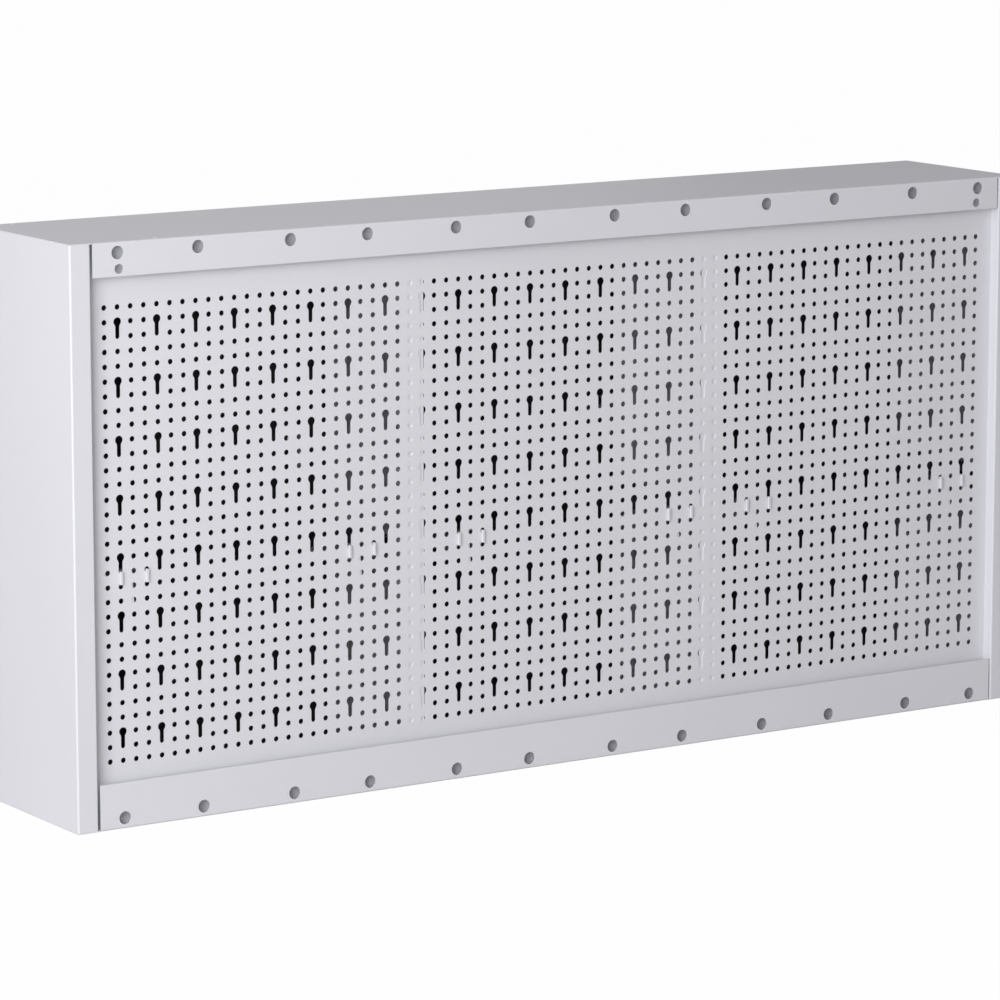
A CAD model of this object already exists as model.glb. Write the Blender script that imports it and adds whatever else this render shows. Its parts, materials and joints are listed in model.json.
"""Steel wall cabinet with a perforated tool wall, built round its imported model."""

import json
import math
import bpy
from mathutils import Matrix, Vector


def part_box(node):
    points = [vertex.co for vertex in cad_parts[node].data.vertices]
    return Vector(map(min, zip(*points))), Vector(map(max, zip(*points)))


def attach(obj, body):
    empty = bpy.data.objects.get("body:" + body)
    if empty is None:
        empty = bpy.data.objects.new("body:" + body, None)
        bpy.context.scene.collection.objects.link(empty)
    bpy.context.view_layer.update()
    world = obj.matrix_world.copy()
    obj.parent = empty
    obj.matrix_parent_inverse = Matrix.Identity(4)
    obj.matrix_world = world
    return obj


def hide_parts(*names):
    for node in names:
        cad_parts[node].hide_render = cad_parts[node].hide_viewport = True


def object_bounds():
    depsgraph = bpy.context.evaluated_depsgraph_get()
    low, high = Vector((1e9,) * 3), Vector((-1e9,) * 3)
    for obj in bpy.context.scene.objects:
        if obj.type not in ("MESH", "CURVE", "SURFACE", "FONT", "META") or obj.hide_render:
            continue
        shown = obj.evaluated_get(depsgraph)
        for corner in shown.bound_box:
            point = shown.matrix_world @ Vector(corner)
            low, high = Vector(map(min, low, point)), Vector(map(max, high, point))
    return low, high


bl_info = {
    "name": "Perforated Tool Wall Cabinet",
    "version": (1, 0, 0),
    "blender": (4, 5, 0),
    "location": "3D View > Sidebar > Tool Cabinet",
    "description": "Builds a three-bay sheet-steel tool cabinet with a perforated hanging wall",
    "category": "Object",
}

import bmesh
import bpy
from mathutils import Vector

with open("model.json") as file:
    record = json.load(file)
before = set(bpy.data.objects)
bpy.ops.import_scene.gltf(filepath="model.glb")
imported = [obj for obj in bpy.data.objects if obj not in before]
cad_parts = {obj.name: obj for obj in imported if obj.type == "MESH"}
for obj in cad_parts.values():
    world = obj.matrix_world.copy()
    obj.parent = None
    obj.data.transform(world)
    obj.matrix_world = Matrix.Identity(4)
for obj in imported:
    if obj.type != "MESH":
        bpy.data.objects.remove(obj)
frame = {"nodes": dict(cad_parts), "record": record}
cad_lo, cad_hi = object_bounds()
centre = (cad_lo + cad_hi) / 2

SIDES = ("left", "middle", "right")
MM = 0.001
THROUGH = 5 * MM
WELD = 0.01 * MM
FLAT = math.radians(0.5)


# ---- Settings ----


class CoatSettings(bpy.types.PropertyGroup):
    """Colours and finish of the painted sheet."""

    frame_colour: bpy.props.FloatVectorProperty(
        name="Frame colour", description="Powder coat on the frame, partitions and shelf brackets",
        subtype="COLOR", size=3, min=0, max=1, default=(0.725, 0.725, 0.772),
    )
    wall_colour: bpy.props.FloatVectorProperty(
        name="Wall colour", description="Powder coat on the perforated wall",
        subtype="COLOR", size=3, min=0, max=1, default=(0.735, 0.735, 0.778),
    )
    dark_colour: bpy.props.FloatVectorProperty(
        name="Dark colour", description="Powder coat on the doors, stop rails and shelves",
        subtype="COLOR", size=3, min=0, max=1, default=(0.050, 0.053, 0.058),
    )
    roughness: bpy.props.FloatProperty(
        name="Roughness", description="Mean roughness of the powder coat",
        min=0, max=1, default=0.5,
    )
    grain: bpy.props.FloatProperty(
        name="Grain", description="Size of the coat's fine bumps",
        unit="LENGTH", min=0.0002, max=0.005, default=0.0009,
    )
    grain_depth: bpy.props.FloatProperty(
        name="Grain depth", description="Height of the coat's fine bumps",
        unit="LENGTH", min=0, max=0.0005, default=0.00003, precision=5,
    )


class MetalSettings(bpy.types.PropertyGroup):
    """Colours of the bare hardware."""

    zinc: bpy.props.FloatVectorProperty(
        name="Zinc", description="Zinc-plated steel",
        subtype="COLOR", size=3, min=0, max=1, default=(0.66, 0.68, 0.70),
    )
    nickel: bpy.props.FloatVectorProperty(
        name="Nickel", description="Satin nickel of the handles and locks",
        subtype="COLOR", size=3, min=0, max=1, default=(0.70, 0.69, 0.67),
    )
    nylon: bpy.props.FloatVectorProperty(
        name="Nylon", description="Hinge bushes",
        subtype="COLOR", size=3, min=0, max=1, default=(0.80, 0.79, 0.73),
    )
    rubber: bpy.props.FloatVectorProperty(
        name="Rubber", description="Door bumpers",
        subtype="COLOR", size=3, min=0, max=1, default=(0.025, 0.025, 0.027),
    )


class WallSettings(bpy.types.PropertyGroup):
    """Sizes of the perforation."""

    pitch: bpy.props.FloatProperty(
        name="Pitch", description="Distance between neighbouring holes",
        unit="LENGTH", min=0.01, max=0.05, default=0.015,
    )
    hole_d: bpy.props.FloatProperty(
        name="Hole", description="Diameter of a round hole",
        unit="LENGTH", min=0.002, max=0.012, default=0.0058,
    )
    head_d: bpy.props.FloatProperty(
        name="Keyhole head", description="Diameter of a keyhole's head",
        unit="LENGTH", min=0.004, max=0.012, default=0.009,
    )
    slot_w: bpy.props.FloatProperty(
        name="Keyhole slot", description="Width of a keyhole's slot",
        unit="LENGTH", min=0.002, max=0.008, default=0.005,
    )
    key_columns: bpy.props.IntProperty(
        name="Keyhole columns", description="A keyhole stands in every such column",
        min=2, max=8, default=3,
    )
    key_rows: bpy.props.IntProperty(
        name="Keyhole rows", description="A keyhole stands in every such row",
        min=3, max=8, default=4,
    )
    blocks_x: bpy.props.IntProperty(
        name="Blocks across", description="Groups of columns across the wall",
        min=1, max=40, default=25,
    )
    blocks_z: bpy.props.IntProperty(
        name="Blocks up", description="Groups of rows up the wall",
        min=1, max=20, default=8,
    )
    hole_sides: bpy.props.IntProperty(
        name="Hole sides", description="Sides of a round hole, a multiple of four",
        min=8, max=32, default=16,
    )


class DetailSettings(bpy.types.PropertyGroup):
    """Small sizes of the modelled pieces."""

    cut_edge: bpy.props.FloatProperty(
        name="Cut edge", description="Rounding that the coat gives a cut edge",
        unit="LENGTH", min=0, max=0.001, default=0.00025,
    )
    hardware_edge: bpy.props.FloatProperty(
        name="Hardware edge", description="Rounding of the pins, bushes, nuts, plugs and cams",
        unit="LENGTH", min=0, max=0.001, default=0.0003,
    )
    screw_edge: bpy.props.FloatProperty(
        name="Screw and rivet edge", description="Rounding of the screws and rivets",
        unit="LENGTH", min=0, max=0.001, default=0.0004,
    )
    housing_edge: bpy.props.FloatProperty(
        name="Lock housing edge", description="Rounding of the lock housings",
        unit="LENGTH", min=0, max=0.001, default=0.0005,
    )
    bumper_edge: bpy.props.FloatProperty(
        name="Bumper edge", description="Rounding of the rubber door bumpers",
        unit="LENGTH", min=0, max=0.002, default=0.0008,
    )
    fold_radius: bpy.props.FloatProperty(
        name="Fold radius", description="Outer radius of a door's folded edge",
        unit="LENGTH", min=0.0005, max=0.004, default=0.0018,
    )
    sheet: bpy.props.FloatProperty(
        name="Sheet", description="Thickness of the door sheet",
        unit="LENGTH", min=0.0005, max=0.002, default=0.001,
    )
    return_w: bpy.props.FloatProperty(
        name="Door return", description="Width of a door's inward returns",
        unit="LENGTH", min=0.008, max=0.02, default=0.012,
    )
    bush_d: bpy.props.FloatProperty(
        name="Bush hole", description="Diameter of a door's holes for its hinge bushes",
        unit="LENGTH", min=0.007, max=0.01, default=0.008,
    )
    lock_d: bpy.props.FloatProperty(
        name="Lock hole", description="Diameter of a door's hole for its lock",
        unit="LENGTH", min=0.015, max=0.022, default=0.019,
    )
    screw_d: bpy.props.FloatProperty(
        name="Screw hole", description="Diameter of a door's holes for its handle screws",
        unit="LENGTH", min=0.003, max=0.006, default=0.0042,
    )
    bar_d: bpy.props.FloatProperty(
        name="Handle bar", description="Diameter of a handle's bar",
        unit="LENGTH", min=0.005, max=0.016, default=0.008,
    )
    bar_turn: bpy.props.FloatProperty(
        name="Handle turn", description="Radius of a handle's two turns",
        unit="LENGTH", min=0.006, max=0.02, default=0.012,
    )
    foot_t: bpy.props.FloatProperty(
        name="Handle foot", description="Thickness of a handle's two feet",
        unit="LENGTH", min=0.002, max=0.004, default=0.003,
    )


class StageSettings(bpy.types.PropertyGroup):
    """Camera, lights and floor."""

    camera_at: bpy.props.FloatVectorProperty(
        name="Camera", description="Where the camera stands",
        subtype="TRANSLATION", size=3, default=(-2.787, -4.258, 1.161),
    )
    heading: bpy.props.FloatProperty(
        name="Heading", description="How far the camera is turned to the right of straight ahead",
        subtype="ANGLE", default=math.radians(33.04),
    )
    pitch: bpy.props.FloatProperty(
        name="Pitch", description="How far the camera looks down",
        subtype="ANGLE", default=math.radians(9.93),
    )
    lens: bpy.props.FloatProperty(
        name="Lens", description="Focal length",
        unit="CAMERA", min=20, max=300, default=170.85,
    )
    key_at: bpy.props.FloatVectorProperty(
        name="Key light's place", description="Where the light on the left stands",
        subtype="TRANSLATION", size=3, default=(-2.4, -1.9, 1.5),
    )
    key_size: bpy.props.FloatVectorProperty(
        name="Key light's size", description="Width and height of the key light's face",
        unit="LENGTH", size=2, default=(1.6, 1.6),
    )
    key_power: bpy.props.FloatProperty(
        name="Key light", description="Power of the light on the left", min=0, default=22,
    )
    front_at: bpy.props.FloatVectorProperty(
        name="Front light's place", description="Where the large light before the wall stands",
        subtype="TRANSLATION", size=3, default=(-3.9, -2.9, 1.0),
    )
    front_size: bpy.props.FloatVectorProperty(
        name="Front light's size", description="Width and height of the front light's face",
        unit="LENGTH", size=2, default=(2.6, 2.2),
    )
    front_power: bpy.props.FloatProperty(
        name="Front light", description="Power of the large light before the wall", min=0, default=145,
    )
    fill_at: bpy.props.FloatVectorProperty(
        name="Fill light's place", description="Where the light on the doors' side stands",
        subtype="TRANSLATION", size=3, default=(1.8, 4.2, 0.5),
    )
    fill_size: bpy.props.FloatVectorProperty(
        name="Fill light's size", description="Width and height of the fill light's face",
        unit="LENGTH", size=2, default=(2.2, 0.8),
    )
    fill_power: bpy.props.FloatProperty(
        name="Fill light", description="Power of the light over the doors' side", min=0, default=60,
    )
    sky: bpy.props.FloatProperty(
        name="Sky", description="Strength of the even light from all round", min=0, default=0.43,
    )
    floor_colour: bpy.props.FloatVectorProperty(
        name="Floor", description="Colour of the floor",
        subtype="COLOR", size=3, min=0, max=1, default=(0.5, 0.5, 0.5),
    )
    floor_glow: bpy.props.FloatProperty(
        name="Floor glow", description="Share of plain white that the camera sees of the floor",
        subtype="FACTOR", min=0, max=1, default=0.985,
    )


# ---- Shader maths ----


class Value:
    """A socket that takes part in arithmetic: each expression adds its Math nodes."""

    def __init__(self, finish, socket):
        self.finish, self.socket = finish, socket

    def _with(self, operation, *terms):
        node = self.finish.node("ShaderNodeMath", {"operation": operation}, *terms)
        return Value(self.finish, node.outputs[0])

    def __add__(self, other):
        return self._with("ADD", self, other)

    def __radd__(self, other):
        return self._with("ADD", other, self)

    def __mul__(self, other):
        return self._with("MULTIPLY", self, other)

    def __rmul__(self, other):
        return self._with("MULTIPLY", other, self)


class Finish:
    """One material and the nodes that make it."""

    def __init__(self, name):
        self.material = bpy.data.materials.new("finish_" + name)
        self.material.use_nodes = True
        self.tree = self.material.node_tree
        self.shader = self.tree.nodes["Principled BSDF"]
        self.place = self.node("ShaderNodeTexCoord", {}).outputs["Object"]

    def node(self, kind, settings, *sockets, **named):
        node = self.tree.nodes.new(kind)
        for key, value in settings.items():
            setattr(node, key, value)
        for key, value in [*enumerate(sockets), *named.items()]:
            self.feed(node.inputs[key.replace("_", " ") if isinstance(key, str) else key], value)
        return node

    def feed(self, socket, value):
        if isinstance(value, Value):
            value = value.socket
        if isinstance(value, bpy.types.NodeSocket):
            self.tree.links.new(value, socket)
        else:
            socket.default_value = value

    def noise(self, scale, detail=2.0, roughness=0.5):
        node = self.node(
            "ShaderNodeTexNoise", {}, Vector=self.place, Scale=scale, Detail=detail, Roughness=roughness
        )
        return Value(self, node.outputs["Fac"])

    def cells(self, scale):
        """A random value for each cell of a Voronoi pattern."""
        pattern = self.node("ShaderNodeTexVoronoi", {"feature": "F1"}, Vector=self.place, Scale=scale)
        split = self.node("ShaderNodeSeparateColor", {}, pattern.outputs["Color"])
        return Value(self, split.outputs[0])

    def between(self, factor, first, second):
        """A colour mixed from two by a value."""
        node = self.node("ShaderNodeMix", {"data_type": "RGBA"})
        self.feed(node.inputs[0], factor)
        self.feed(node.inputs[6], first)
        self.feed(node.inputs[7], second)
        return node.outputs[2]

    def bump(self, height, distance):
        node = self.node("ShaderNodeBump", {}, Distance=distance, Height=height)
        self.feed(self.shader.inputs["Normal"], node.outputs[0])

    def surface(self, **named):
        for key, value in named.items():
            self.feed(self.shader.inputs[key.replace("_", " ")], value)
        return self.material


def shade(colour, factor):
    """The same colour, lighter or darker, with its alpha."""
    return tuple(min(1, c * factor) for c in colour) + (1.0,)


def powder_coat(name, colour, coat):
    """Fine-textured powder coat: a grain of tiny bumps, faint clouding and a little settled dust."""
    paint = Finish(name)
    cloud = paint.noise(2.5, detail=3)
    dust = paint.noise(38, detail=5, roughness=0.65)
    grain = paint.noise(1 / coat.grain, detail=3, roughness=0.6)
    orange_peel = paint.noise(0.22 / coat.grain, detail=1)
    clouded = paint.between(cloud, shade(colour, 0.97), shade(colour, 1.03))
    speckled = paint.between(grain * 0.10 + dust * 0.06, clouded, shade(colour, 0.86))
    paint.bump(grain + 1.6 * orange_peel, coat.grain_depth)
    return paint.surface(
        Base_Color=speckled,
        Roughness=coat.roughness - 0.06 + 0.1 * dust + 0.06 * grain,
        IOR=1.48,
    )


def zinc_plate(name, colour):
    """Bright zinc: a soft spangle in colour and gloss, with fine drawn lines."""
    plate = Finish(name)
    spangle = plate.cells(260)
    haze = plate.noise(60, detail=4)
    body = plate.between(0.5 * spangle + 0.5 * haze, shade(colour, 0.88), shade(colour, 1.08))
    plate.bump(plate.noise(1500, detail=2), 0.00001)
    return plate.surface(
        Base_Color=body, Metallic=0.92, Roughness=0.28 + 0.12 * haze + 0.06 * spangle
    )


def satin_nickel(name, colour):
    """Satin nickel: cloudy gloss with hair-fine scratches."""
    plate = Finish(name)
    haze = plate.noise(90, detail=4)
    hair = plate.noise(2600, detail=1)
    body = plate.between(haze, shade(colour, 0.94), shade(colour, 1.05))
    plate.bump(hair, 0.000006)
    return plate.surface(Base_Color=body, Metallic=1.0, Roughness=0.2 + 0.1 * haze + 0.04 * hair)


def moulded(name, colour, roughness, grain_scale, depth):
    """Moulded nylon or rubber with a fine grain."""
    stuff = Finish(name)
    cloud = stuff.noise(120, detail=3)
    grain = stuff.noise(grain_scale, detail=2)
    body = stuff.between(cloud, shade(colour, 0.9), shade(colour, 1.1))
    stuff.bump(grain, depth)
    return stuff.surface(Base_Color=body, Roughness=roughness - 0.05 + 0.1 * grain)


class CABINET_OT_finishes(bpy.types.Operator):
    """Make the finish of every material slot"""

    bl_idname = "cabinet.finishes"
    bl_label = "Finishes"

    def execute(self, context):
        coat, metal = context.scene.cabinet_coat, context.scene.cabinet_metal
        powder_coat("frame_coat", coat.frame_colour, coat)
        powder_coat("wall_coat", coat.wall_colour, coat)
        powder_coat("dark_coat", coat.dark_colour, coat)
        zinc_plate("zinc", metal.zinc)
        satin_nickel("chrome", metal.nickel)
        moulded("nylon", metal.nylon, 0.45, 700, 0.00001)
        moulded("rubber", metal.rubber, 0.8, 900, 0.00003)
        return {"FINISHED"}


# ---- Modelling steps ----


def alone(piece):
    """Selects one object and nothing else."""
    bpy.ops.object.select_all(action="DESELECT")
    piece.select_set(True)
    bpy.context.view_layer.objects.active = piece


def modify(piece, kind, **settings):
    """Adds a modifier and applies it."""
    alone(piece)
    modifier = piece.modifiers.new(kind.title(), kind)
    for key, value in settings.items():
        setattr(modifier, key, value)
    bpy.ops.object.modifier_apply(modifier=modifier.name)


def edit(piece, kind, wanted):
    """Enters edit mode with only the wanted vertices, edges or faces selected."""
    alone(piece)
    bpy.ops.object.mode_set(mode="EDIT")
    bpy.ops.mesh.select_mode(type={"verts": "VERT", "edges": "EDGE", "faces": "FACE"}[kind])
    bpy.ops.mesh.select_all(action="DESELECT")
    mesh = bmesh.from_edit_mesh(piece.data)
    for element in getattr(mesh, kind):
        if wanted(element):
            element.select_set(True)
    mesh.select_flush_mode()
    bmesh.update_edit_mesh(piece.data)


def leave():
    bpy.ops.object.mode_set(mode="OBJECT")


def middle_of(element):
    return sum((v.co for v in element.verts), Vector()) / len(element.verts)


def settle(piece, name):
    """Names a piece and puts its place into its mesh."""
    piece.name = name
    piece.data.name = name
    alone(piece)
    bpy.ops.object.transform_apply(location=True, rotation=True, scale=True)
    return piece


def copied(piece, name, offset):
    """A copy of a piece with its own mesh, moved by an offset."""
    alone(piece)
    bpy.ops.object.duplicate()
    twin = bpy.context.object
    twin.location = offset
    return settle(twin, name)


def box_between(lo, hi):
    """A box primitive with its corners at two places, its place already in its mesh."""
    lo, hi = Vector(lo), Vector(hi)
    bpy.ops.mesh.primitive_cube_add(size=1, location=(lo + hi) / 2, scale=hi - lo)
    return settle(bpy.context.object, "box")


def disc_along_y(x, y0, y1, z, diameter, sides=48):
    """A round bar primitive along Y."""
    bpy.ops.mesh.primitive_cylinder_add(
        vertices=sides, radius=diameter / 2, depth=abs(y1 - y0),
        location=(x, (y0 + y1) / 2, z), rotation=(math.pi / 2, 0, 0),
    )
    return settle(bpy.context.object, "disc")


def join(pieces, name):
    """Joins pieces into the first one."""
    bpy.ops.object.select_all(action="DESELECT")
    for piece in pieces:
        piece.select_set(True)
    bpy.context.view_layer.objects.active = pieces[0]
    if len(pieces) > 1:
        bpy.ops.object.join()
    return settle(bpy.context.object, name)


def cut(piece, cutter):
    """Cuts one object out of another and throws the cutter away."""
    modify(piece, "BOOLEAN", operation="DIFFERENCE", object=cutter, solver="EXACT")
    bpy.data.objects.remove(cutter)


def shade_smooth(piece, angle=35):
    """Shades smooth up to an angle, with each flat face keeping its own direction."""
    alone(piece)
    bpy.ops.object.shade_smooth_by_angle(angle=math.radians(angle))
    modify(piece, "WEIGHTED_NORMAL", keep_sharp=True, weight=100)


def soften(piece, width, segments=2, angle=35):
    """Rounds the sharp edges."""
    modify(
        piece, "BEVEL", width=width, segments=segments, limit_method="ANGLE",
        angle_limit=math.radians(angle), use_clamp_overlap=True,
    )
    shade_smooth(piece, angle)


def place(piece, node):
    """Gives a finished piece the finish, slot and body of the node that it stands for."""
    slot = slot_of(node)
    piece.data.materials.clear()
    piece.data.materials.append(bpy.data.materials["finish_" + slot])
    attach(piece, body_of(node))
    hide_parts(node)


def softened_copy(node, name, width, segments=2):
    """A copy of a CAD node, welded, with its flat faces whole and its sharp edges rounded."""
    piece = bpy.data.objects.new(name, frame["nodes"][node].data.copy())
    bpy.context.collection.objects.link(piece)
    settle(piece, name)
    bpy.ops.object.mode_set(mode="EDIT")
    bpy.ops.mesh.select_all(action="SELECT")
    bpy.ops.mesh.remove_doubles(threshold=WELD)
    bpy.ops.mesh.customdata_custom_splitnormals_clear()
    bpy.ops.mesh.dissolve_limited(angle_limit=FLAT)
    leave()
    soften(piece, width, segments)
    return piece


def body_of(node):
    return next(b for b, nodes in frame["record"]["behaviour"]["bodies"].items() if node in nodes)


def slot_of(node):
    return next(s["material_slot"] for s in frame["record"]["subparts"] if s["node"] == node)


# ---- Perforated wall ----


def square_with_hole(x, z, outline, hole):
    """A flat ring of faces from a square outline to a hole's outline, by bridging their two loops."""
    mesh = bpy.data.meshes.new("ring")
    ring = bpy.data.objects.new("ring", mesh)
    bpy.context.collection.objects.link(ring)
    shape = bmesh.new()
    for loop in (outline, hole):
        verts = [shape.verts.new((x + px, 0, z + pz)) for px, pz in loop]
        for a, b in zip(verts, verts[1:] + verts[:1]):
            shape.edges.new((a, b))
    shape.to_mesh(mesh)
    shape.free()
    alone(ring)
    bpy.ops.object.mode_set(mode="EDIT")
    bpy.ops.mesh.select_mode(type="EDGE")
    bpy.ops.mesh.select_all(action="SELECT")
    bpy.ops.mesh.bridge_edge_loops()
    leave()
    return ring


def arc(radius, start, end, steps, cx=0.0, cz=0.0):
    """Points on an arc, both ends included, with angles in degrees from straight right."""
    turn = [math.radians(start + (end - start) * i / steps) for i in range(steps + 1)]
    return [(cx + radius * math.cos(t), cz + radius * math.sin(t)) for t in turn]


def keyhole_outline(wall):
    """Head, tapered neck and slot, anticlockwise from the neck's right side."""
    head, slot = wall.head_d / 2, wall.slot_w / 2
    neck = -1.1 * head
    return (
        [(slot, neck)]
        + arc(head, -46, 226, 14)
        + [(-slot, neck)]
        + arc(slot, 180, 360, 8, cz=-wall.pitch)
    )


def wall_block(wall):
    """One repeat of the pattern: three columns by four rows with one keyhole, its corner at the origin."""
    half, sides = wall.pitch / 2, wall.hole_sides
    square = [(half, -half), (half, half), (-half, half), (-half, -half)]
    tall = [(half, -3 * half), (half, -half), (half, half), (-half, half), (-half, -half), (-half, -3 * half)]
    circle = arc(wall.hole_d / 2, -45, 315 - 360 / sides, sides - 1)
    cells = []
    for column in range(wall.key_columns):
        for row in range(wall.key_rows):
            x, z = (column + 0.5) * wall.pitch, -(row + 0.5) * wall.pitch
            if column == 1 and row == 2:
                continue
            if column == 1 and row == 1:
                cells.append(square_with_hole(x, z, tall, keyhole_outline(wall)))
            else:
                cells.append(square_with_hole(x, z, square, circle))
    block = join(cells, "block")
    bpy.ops.object.mode_set(mode="EDIT")
    bpy.ops.mesh.select_all(action="SELECT")
    bpy.ops.mesh.remove_doubles(threshold=2 * WELD)
    bpy.ops.mesh.dissolve_limited(angle_limit=FLAT, delimit=set())
    leave()
    return block


class CABINET_OT_wall(bpy.types.Operator):
    """Model the perforated wall from one repeat of its pattern"""

    bl_idname = "cabinet.wall"
    bl_label = "Perforated wall"

    def execute(self, context):
        wall = context.scene.cabinet_wall
        lo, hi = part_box("perforated_wall")
        sheet = wall_block(wall)
        step = (wall.key_columns * wall.pitch, wall.key_rows * wall.pitch)
        for count, offset in ((wall.blocks_x, (step[0], 0, 0)), (wall.blocks_z, (0, 0, -step[1]))):
            modify(
                sheet, "ARRAY", count=count, use_relative_offset=False, use_constant_offset=True,
                constant_offset_displace=offset, use_merge_vertices=True, merge_threshold=2 * WELD,
            )
        size = Vector((wall.blocks_x * step[0], 0, wall.blocks_z * step[1]))
        middle = (lo + hi) / 2
        sheet.location = (middle.x - size.x / 2, lo.y, middle.z + size.z / 2)
        settle(sheet, "perforated_wall_sheet")

        def on_outline(edge):
            at = middle_of(edge) - middle
            near = abs(abs(at.x) - size.x / 2) < MM / 10 or abs(abs(at.z) - size.z / 2) < MM / 10
            return edge.is_boundary and near

        edit(sheet, "edges", on_outline)
        bpy.ops.mesh.extrude_edges_move()
        bpy.ops.transform.resize(
            value=((hi.x - lo.x) / size.x, 1, (hi.z - lo.z) / size.z), center_override=middle
        )
        bpy.ops.mesh.select_all(action="SELECT")
        bpy.ops.mesh.normals_make_consistent(inside=False)
        leave()
        if sheet.data.polygons[0].normal.y > 0:
            alone(sheet)
            bpy.ops.object.mode_set(mode="EDIT")
            bpy.ops.mesh.select_all(action="SELECT")
            bpy.ops.mesh.flip_normals()
            leave()
        modify(sheet, "SOLIDIFY", thickness=hi.y - lo.y, offset=-1)
        shade_smooth(sheet)
        place(sheet, "perforated_wall")
        return {"FINISHED"}


# ---- Frame, partitions, shelves ----


class CABINET_OT_frame(bpy.types.Operator):
    """Round the cut edges of the frame's panels and coat them"""

    bl_idname = "cabinet.frame"
    bl_label = "Frame panels"

    def execute(self, context):
        edge = context.scene.cabinet_detail.cut_edge
        for node in ("left_side_panel", "right_side_panel", "top_panel", "bottom_panel"):
            place(softened_copy(node, node + "_sheet", edge), node)
        for side in ("left", "right"):
            for kind in ("partition", "stop_rail"):
                node = f"{side}_{kind}"
                place(softened_copy(node, node + "_sheet", edge, 1), node)
        return {"FINISHED"}


class CABINET_OT_shelves(bpy.types.Operator):
    """Round the shelves' edges and finish their brackets and rivets"""

    bl_idname = "cabinet.shelves"
    bl_label = "Shelves and brackets"

    def execute(self, context):
        detail = context.scene.cabinet_detail
        for side in SIDES:
            node = f"{side}_shelf"
            place(softened_copy(node, node + "_tray", detail.cut_edge), node)
            node = f"{side}_shelf_brackets"
            place(softened_copy(node, node + "_pair", detail.hardware_edge), node)
        for node in ("shelf_rivets", "stop_rail_rivets"):
            place(softened_copy(node, node + "_set", detail.screw_edge), node)
        return {"FINISHED"}


# ---- Doors ----


def upright_disc(x, y, z, diameter, height, sides=32):
    """A round bar primitive along Z, about a place."""
    bpy.ops.mesh.primitive_cylinder_add(
        vertices=sides, radius=diameter / 2, depth=height, location=(x, y, z)
    )
    return settle(bpy.context.object, "disc")


def door_shell(side, detail):
    """The door's outer shell: a tray folded from one sheet, with returns down its long edges."""
    lo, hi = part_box(f"{side}_door_pan")
    shell = box_between(lo, hi)
    edit(shell, "faces", lambda f: f.normal.y < -0.5)
    bpy.ops.mesh.delete(type="FACE")
    leave()
    edit(shell, "edges", lambda e: middle_of(e).y > hi.y - MM)
    bpy.ops.mesh.bevel(offset=detail.fold_radius, segments=4, profile=0.5, affect="EDGES")
    leave()
    for x, way in ((lo.x, 1), (hi.x, -1)):
        edit(shell, "edges", lambda e: e.is_boundary and abs(middle_of(e).x - x) < MM / 10)
        bpy.ops.mesh.extrude_edges_move(
            TRANSFORM_OT_translate={"value": (way * detail.return_w, 0, 0)}
        )
        leave()
    bpy.ops.object.mode_set(mode="EDIT")
    bpy.ops.mesh.select_all(action="SELECT")
    bpy.ops.mesh.normals_make_consistent(inside=False)
    leave()
    modify(shell, "SOLIDIFY", thickness=detail.sheet, offset=-1, use_even_offset=True)
    return shell


def door_holes(side, detail):
    """The tools that cut a door's holes for its bushes, lock and handle screws."""
    lo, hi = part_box(f"{side}_door_pan")
    lock = sum(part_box(f"{side}_lock_housing"), Vector()) / 2
    pin = sum(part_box(f"{side}_hinge_pins"), Vector()) / 2
    screw_lo, screw_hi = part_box(f"{side}_handle_screws")
    head = (screw_hi.x - screw_lo.x) / 2
    tools = [upright_disc(pin.x, pin.y, z, detail.bush_d, THROUGH) for z in (lo.z, hi.z)]
    tools.append(disc_along_y(lock.x, hi.y - THROUGH, hi.y + THROUGH, lock.z, detail.lock_d))
    for z in (screw_lo.z + head, screw_hi.z - head):
        tools.append(disc_along_y(lock.x, hi.y - THROUGH, hi.y + THROUGH, z, detail.screw_d, 24))
    return join(tools, "tools")


class CABINET_OT_doors(bpy.types.Operator):
    """Model the three doors, with their holes and stiffeners"""

    bl_idname = "cabinet.doors"
    bl_label = "Doors"

    def execute(self, context):
        detail = context.scene.cabinet_detail
        for side in SIDES:
            shell = settle(door_shell(side, detail), f"{side}_door_shell")
            cut(shell, door_holes(side, detail))
            soften(shell, detail.cut_edge, 2, 40)
            place(shell, f"{side}_door_pan")
            node = f"{side}_door_stiffener"
            place(softened_copy(node, node + "_bar", detail.cut_edge), node)
        return {"FINISHED"}


def swept_bar(start, bar_d, turn, legs):
    """A round bar swept from a point: each leg is a direction and a length between its turns."""
    bpy.ops.mesh.primitive_circle_add(
        vertices=24, radius=bar_d / 2, fill_type="NGON", location=start, rotation=(math.pi / 2, 0, 0)
    )
    bar = settle(bpy.context.object, "bar")
    tip = Vector(start)

    def at_tip(face):
        return len(face.verts) > 4 and (middle_of(face) - tip).length < MM / 10

    for (way, length), (onward, _) in zip(legs, [*legs[1:], (None, 0)]):
        edit(bar, "faces", at_tip)
        bpy.ops.mesh.extrude_region_move(TRANSFORM_OT_translate={"value": way * length})
        leave()
        tip = tip + way * length
        if onward:
            hub = tip + onward * turn
            edit(bar, "faces", at_tip)
            bpy.ops.mesh.spin(steps=10, angle=math.pi / 2, center=hub, axis=onward.cross(way))
            leave()
            tip = hub + way * turn
    bpy.ops.object.mode_set(mode="EDIT")
    bpy.ops.mesh.select_all(action="SELECT")
    bpy.ops.mesh.remove_doubles(threshold=WELD)
    bpy.ops.mesh.normals_make_consistent(inside=False)
    leave()
    return bar


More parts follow.
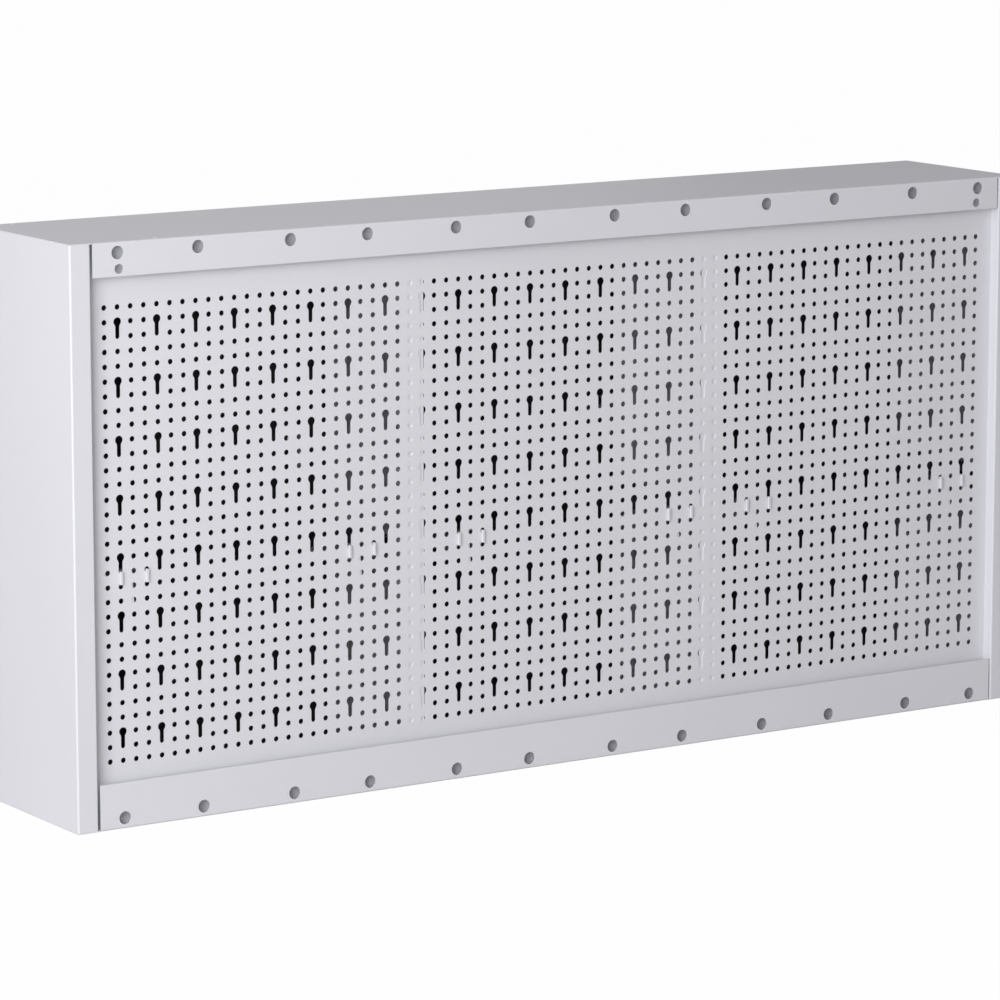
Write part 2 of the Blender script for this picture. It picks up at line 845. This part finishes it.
def bow_handle(lo, hi, detail):
    """A round bar with two turns, standing on two rounded feet."""
    foot_d, foot_t = hi.x - lo.x, detail.foot_t
    x, low, high = (lo.x + hi.x) / 2, lo.z + foot_d / 2, hi.z - foot_d / 2
    start, turn = lo.y + foot_t / 2, detail.bar_turn
    rise = hi.y - detail.bar_d / 2 - turn - start
    up, out = Vector((0, 0, 1)), Vector((0, 1, 0))
    legs = [(out, rise), (up, high - low - 2 * turn), (-out, rise)]
    bar = swept_bar((x, start, low), detail.bar_d, turn, legs)
    feet = [disc_along_y(x, lo.y, lo.y + foot_t, z, foot_d, 40) for z in (low, high)]
    for foot in feet:
        soften(foot, foot_t / 4, 3)
    handle = join([bar, *feet], "handle")
    shade_smooth(handle, 40)
    return handle


class CABINET_OT_handles(bpy.types.Operator):
    """Model one bow handle by sweeping a round bar, and copy it to the other doors"""

    bl_idname = "cabinet.handles"
    bl_label = "Handles"

    def execute(self, context):
        detail = context.scene.cabinet_detail
        first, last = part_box(f"{SIDES[0]}_handle")
        handle = bow_handle(first, last, detail)
        for side in SIDES:
            piece = copied(handle, f"{side}_bow_handle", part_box(f"{side}_handle")[0] - first)
            place(piece, f"{side}_handle")
            node = f"{side}_handle_screws"
            place(softened_copy(node, node + "_pair", detail.screw_edge), node)
        bpy.data.objects.remove(handle)
        return {"FINISHED"}


class CABINET_OT_locks(bpy.types.Operator):
    """Finish the cam locks: housing, nut, plug and cam"""

    bl_idname = "cabinet.locks"
    bl_label = "Locks"

    def execute(self, context):
        detail = context.scene.cabinet_detail
        for side in SIDES:
            for kind, width in (
                ("lock_housing", detail.housing_edge),
                ("lock_nut", detail.hardware_edge),
                ("lock_plug", detail.hardware_edge),
                ("lock_cam", detail.hardware_edge),
            ):
                node = f"{side}_{kind}"
                place(softened_copy(node, node + "_part", width, 3), node)
        return {"FINISHED"}


class CABINET_OT_hinges(bpy.types.Operator):
    """Finish the hinge pins, their bushes and the door bumpers"""

    bl_idname = "cabinet.hinges"
    bl_label = "Hinges and bumpers"

    def execute(self, context):
        detail = context.scene.cabinet_detail
        for side in SIDES:
            for kind in ("hinge_pins", "hinge_bushes"):
                node = f"{side}_{kind}"
                place(softened_copy(node, node + "_set", detail.hardware_edge), node)
        place(softened_copy("door_bumpers", "door_bumpers_set", detail.bumper_edge), "door_bumpers")
        return {"FINISHED"}


# ---- Stage ----


def area_light(name, location, size, power):
    """A soft rectangular light that looks at the cabinet's middle."""
    bpy.ops.object.light_add(type="AREA", location=location)
    light = bpy.context.object
    light.name = name
    light.data.shape = "RECTANGLE"
    light.data.size, light.data.size_y = size
    light.data.energy = power
    light.rotation_euler = (centre - Vector(location)).to_track_quat("-Z", "Y").to_euler()


def white_to_camera(tree, shader, share):
    """Shows the camera a share of plain white in place of the stage's own look; light isn't changed."""
    white = tree.nodes.new("ShaderNodeEmission")
    seen = tree.nodes.new("ShaderNodeLightPath")
    part = tree.nodes.new("ShaderNodeMath")
    part.operation = "MULTIPLY"
    part.inputs[1].default_value = share
    mix = tree.nodes.new("ShaderNodeMixShader")
    out = next(n for n in tree.nodes if n.type.startswith("OUTPUT"))
    tree.links.new(seen.outputs["Is Camera Ray"], part.inputs[0])
    tree.links.new(part.outputs[0], mix.inputs["Fac"])
    tree.links.new(shader.outputs[0], mix.inputs[1])
    tree.links.new(white.outputs[0], mix.inputs[2])
    tree.links.new(mix.outputs[0], out.inputs["Surface"])


class CABINET_OT_stage(bpy.types.Operator):
    """Set up the camera, the lights, the sky and the floor"""

    bl_idname = "cabinet.stage"
    bl_label = "Stage"

    def execute(self, context):
        stage = context.scene.cabinet_stage
        context.scene.view_settings.view_transform = "Standard"
        bpy.ops.object.camera_add(
            location=stage.camera_at, rotation=(math.pi / 2 - stage.pitch, 0, -stage.heading)
        )
        camera = context.object
        camera.data.lens = stage.lens
        camera.data.clip_start, camera.data.clip_end = 0.1, 60
        context.scene.camera = camera

        area_light("key", stage.key_at, stage.key_size, stage.key_power)
        area_light("front_fill", stage.front_at, stage.front_size, stage.front_power)
        area_light("doors_fill", stage.fill_at, stage.fill_size, stage.fill_power)

        world = bpy.data.worlds.new("studio")
        world.use_nodes = True
        context.scene.world = world
        even = world.node_tree.nodes["Background"]
        even.inputs["Color"].default_value = (1, 1, 1, 1)
        even.inputs["Strength"].default_value = stage.sky
        white_to_camera(world.node_tree, even, 1.0)

        bpy.ops.mesh.primitive_plane_add(size=30, location=(0, 0, cad_lo.z - 0.0005))
        floor = settle(context.object, "studio_floor")
        ground = Finish("studio_floor")
        pale = ground.noise(0.6, detail=2)
        colour = tuple(stage.floor_colour)
        ground.surface(
            Base_Color=ground.between(pale, shade(colour, 0.99), shade(colour, 1.0)), Roughness=0.9
        )
        white_to_camera(ground.tree, ground.shader, stage.floor_glow)
        floor.data.materials.append(ground.material)
        return {"FINISHED"}


# ---- Panel and registration ----

SETTINGS = (
    ("cabinet_coat", CoatSettings),
    ("cabinet_metal", MetalSettings),
    ("cabinet_wall", WallSettings),
    ("cabinet_detail", DetailSettings),
    ("cabinet_stage", StageSettings),
)
OPERATORS = (
    CABINET_OT_finishes,
    CABINET_OT_stage,
    CABINET_OT_wall,
    CABINET_OT_frame,
    CABINET_OT_shelves,
    CABINET_OT_doors,
    CABINET_OT_handles,
    CABINET_OT_locks,
    CABINET_OT_hinges,
)


class CABINET_PT_panel(bpy.types.Panel):
    """Lists the cabinet's settings and the steps that build it"""

    bl_idname = "CABINET_PT_panel"
    bl_label = "Tool Cabinet"
    bl_space_type = "VIEW_3D"
    bl_region_type = "UI"
    bl_category = "Tool Cabinet"

    def draw(self, context):
        for operator in OPERATORS:
            self.layout.operator(operator.bl_idname)
        for name, kind in SETTINGS:
            box = self.layout.box()
            for key in kind.__annotations__:
                box.prop(getattr(context.scene, name), key)


def register():
    for name, kind in SETTINGS:
        bpy.utils.register_class(kind)
        setattr(bpy.types.Scene, name, bpy.props.PointerProperty(type=kind))
    for operator in OPERATORS:
        bpy.utils.register_class(operator)
    bpy.utils.register_class(CABINET_PT_panel)


def unregister():
    bpy.utils.unregister_class(CABINET_PT_panel)
    for operator in reversed(OPERATORS):
        bpy.utils.unregister_class(operator)
    for name, kind in reversed(SETTINGS):
        delattr(bpy.types.Scene, name)
        bpy.utils.unregister_class(kind)


def main():
    register()
    for operator in OPERATORS:
        group, name = operator.bl_idname.split(".")
        getattr(getattr(bpy.ops, group), name)()


if __name__ == "__main__":
    main()
